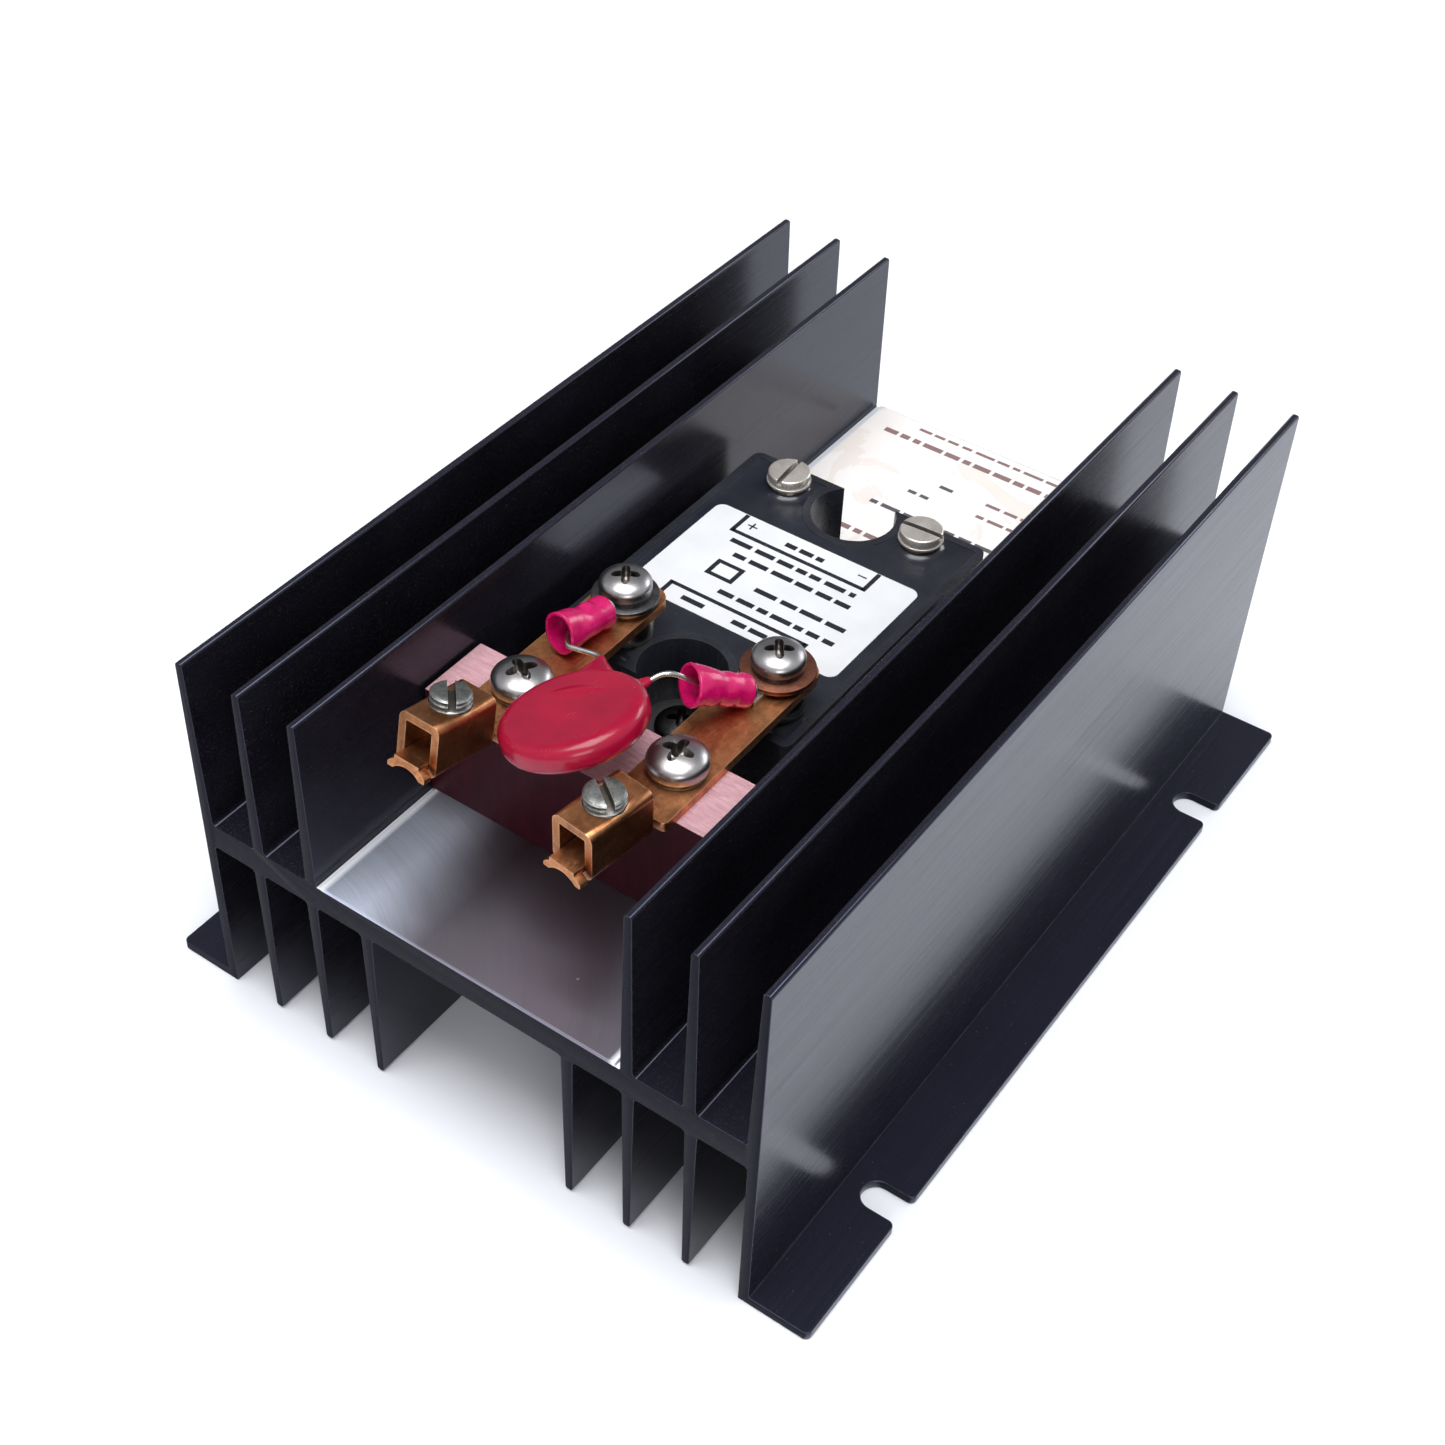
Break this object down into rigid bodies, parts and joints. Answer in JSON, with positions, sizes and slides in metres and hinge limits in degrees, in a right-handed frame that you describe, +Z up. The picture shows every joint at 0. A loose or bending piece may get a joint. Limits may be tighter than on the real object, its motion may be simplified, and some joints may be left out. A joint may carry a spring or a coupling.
{
  "type": "solid state relay",
  "caption": "Panel-mount relay module on a tall finned black heatsink, with copper straps and box lugs on an insulator block, a red disc varistor and slotted feet.",
  "frame": {"origin": "centre of the footprint, on the plane that the feet rest on", "axes": "+Z up, +X across the fins, +Y along the fins from the load lugs towards the control terminals"},
  "size_m": [0.1206, 0.1524, 0.0688],
  "materials": {
    "black_anodised_aluminium": "satin black anodised, fine lengthwise extrusion lines; machined floor is bare",
    "thermal_compound": "soft pad",
    "bare_aluminium": "plain",
    "moulded_black": "satin moulded",
    "potting_compound": "smooth cast epoxy",
    "ceramic": "white ceramic",
    "copper": "aged copper with bright edges",
    "silicon": "polished",
    "tinned_wire": "tinned",
    "circuit_board": "solder resist",
    "component_black": "moulded",
    "component_tan": "lacquered",
    "component_blue": "sleeved can",
    "white_label": "printed polyester label",
    "paper_sticker": "aged stained paper",
    "steel_black": "black oxide",
    "pink_laminate": "sawn glass-polyester laminate, dusty top",
    "bright_steel": "bright zinc plated",
    "varistor_red": "glossy dipped epoxy",
    "nickel_post": "dull nickel plate",
    "zinc_grey": "dull zinc plate",
    "tinned_terminal": "tinned copper",
    "magenta_vinyl": "translucent glossy vinyl",
    "dark_washer": "dark spring steel",
    "nickel_screw": "nickel plated",
    "copper_washer": "brown oxidised copper"
  },
  "bodies": {
    "base": {"heatsink": "black_anodised_aluminium", "thermal_pad": "thermal_compound", "relay_baseplate": "bare_aluminium", "relay_case": "moulded_black", "relay_potting": "potting_compound", "ceramic_substrate": "ceramic", "copper_pads": "copper", "thyristor_chips": "silicon", "gate_leads": "tinned_wire", "control_board": "circuit_board", "optocoupler": "component_black", "board_resistors": "component_tan", "board_capacitor": "component_blue", "relay_label": "white_label", "heatsink_sticker": "paper_sticker", "relay_mounting_screw": "steel_black", "insulator_block": "pink_laminate", "block_fixing_screws": "bright_steel", "varistor_disc": "varistor_red", "output_lead_left": "copper", "output_post_left": "nickel_post", "output_flat_washer_left": "dark_washer", "input_post_left": "nickel_post", "strap_left": "copper", "lug_collar_left": "copper", "varistor_lead_left": "tinned_wire", "ring_terminal_left": "tinned_terminal", "crimp_sleeve_left": "magenta_vinyl", "output_lead_right": "copper", "output_post_right": "nickel_post", "output_flat_washer_right": "copper_washer", "input_post_right": "nickel_post", "strap_right": "copper", "lug_collar_right": "copper", "varistor_lead_right": "tinned_wire", "ring_terminal_right": "tinned_terminal", "crimp_sleeve_right": "magenta_vinyl"},
    "output_washers_left": {"output_lock_washer_left": "dark_washer"},
    "output_screw_left": {"output_screw_left": "bright_steel"},
    "output_washers_right": {"output_lock_washer_right": "dark_washer"},
    "output_screw_right": {"output_screw_right": "bright_steel"},
    "block_washers_left": {"block_washer_left": "dark_washer"},
    "block_screw_left": {"block_screw_left": "bright_steel"},
    "block_washers_right": {"block_washer_right": "dark_washer"},
    "block_screw_right": {"block_screw_right": "bright_steel"},
    "input_washers_left": {"input_washer_left": "nickel_screw"},
    "input_screw_left": {"input_screw_left": "nickel_screw"},
    "input_washers_right": {"input_washer_right": "nickel_screw"},
    "input_screw_right": {"input_screw_right": "nickel_screw"},
    "lug_screw_left": {"lug_screw_left": "zinc_grey"},
    "lug_screw_right": {"lug_screw_right": "zinc_grey"}
  },
  "joints": [
    {"name": "output_lift_left", "type": "slide", "parent": "base", "child": "output_washers_left", "axis": [0, 0, 1], "range_m": [0, 0.00238]},
    {"name": "output_turn_left", "type": "hinge", "parent": "output_washers_left", "child": "output_screw_left", "pos_m": [-0.0149, -0.0187, 0.0602], "axis": [0, 0, 1], "range_deg": [0, 1080]},
    {"name": "output_lift_right", "type": "slide", "parent": "base", "child": "output_washers_right", "axis": [0, 0, 1], "range_m": [0, 0.00238]},
    {"name": "output_turn_right", "type": "hinge", "parent": "output_washers_right", "child": "output_screw_right", "pos_m": [0.0128, -0.0187, 0.0602], "axis": [0, 0, 1], "range_deg": [0, 1080]},
    {"name": "block_lift_left", "type": "slide", "parent": "base", "child": "block_washers_left", "axis": [0, 0, 1], "range_m": [0, 0.00119]},
    {"name": "block_turn_left", "type": "hinge", "parent": "block_washers_left", "child": "block_screw_left", "pos_m": [-0.0149, -0.0435, 0.0586], "axis": [0, 0, 1], "range_deg": [0, 540]},
    {"name": "block_lift_right", "type": "slide", "parent": "base", "child": "block_washers_right", "axis": [0, 0, 1], "range_m": [0, 0.00159]},
    {"name": "block_turn_right", "type": "hinge", "parent": "block_washers_right", "child": "block_screw_right", "pos_m": [0.0128, -0.0435, 0.0586], "axis": [0, 0, 1], "range_deg": [0, 720]},
    {"name": "input_lift_left", "type": "slide", "parent": "base", "child": "input_washers_left", "axis": [0, 0, 1], "range_m": [0, 0.00238]},
    {"name": "input_turn_left", "type": "hinge", "parent": "input_washers_left", "child": "input_screw_left", "pos_m": [-0.0154, 0.0269, 0.05345], "axis": [0, 0, 1], "range_deg": [0, 1080]},
    {"name": "input_lift_right", "type": "slide", "parent": "base", "child": "input_washers_right", "axis": [0, 0, 1], "range_m": [0, 0.00238]},
    {"name": "input_turn_right", "type": "hinge", "parent": "input_washers_right", "child": "input_screw_right", "pos_m": [0.01, 0.0269, 0.05345], "axis": [0, 0, 1], "range_deg": [0, 1080]},
    {"name": "lug_screw_travel_left", "type": "slide", "parent": "base", "child": "lug_screw_left", "axis": [0, 0.1908, 0.9816], "range_m": [-0.003, 0.0009]},
    {"name": "lug_screw_travel_right", "type": "slide", "parent": "base", "child": "lug_screw_right", "axis": [0, 0, 1], "range_m": [-0.003, 0.0009]}
  ],
  "couplings": [
    {"joint": "output_turn_left", "follows": "output_lift_left", "rad_per_m": 7913.3},
    {"joint": "output_turn_right", "follows": "output_lift_right", "rad_per_m": 7913.3},
    {"joint": "block_turn_left", "follows": "block_lift_left", "rad_per_m": 7913.3},
    {"joint": "block_turn_right", "follows": "block_lift_right", "rad_per_m": 7913.3},
    {"joint": "input_turn_left", "follows": "input_lift_left", "rad_per_m": 7913.3},
    {"joint": "input_turn_right", "follows": "input_lift_right", "rad_per_m": 7913.3}
  ]
}
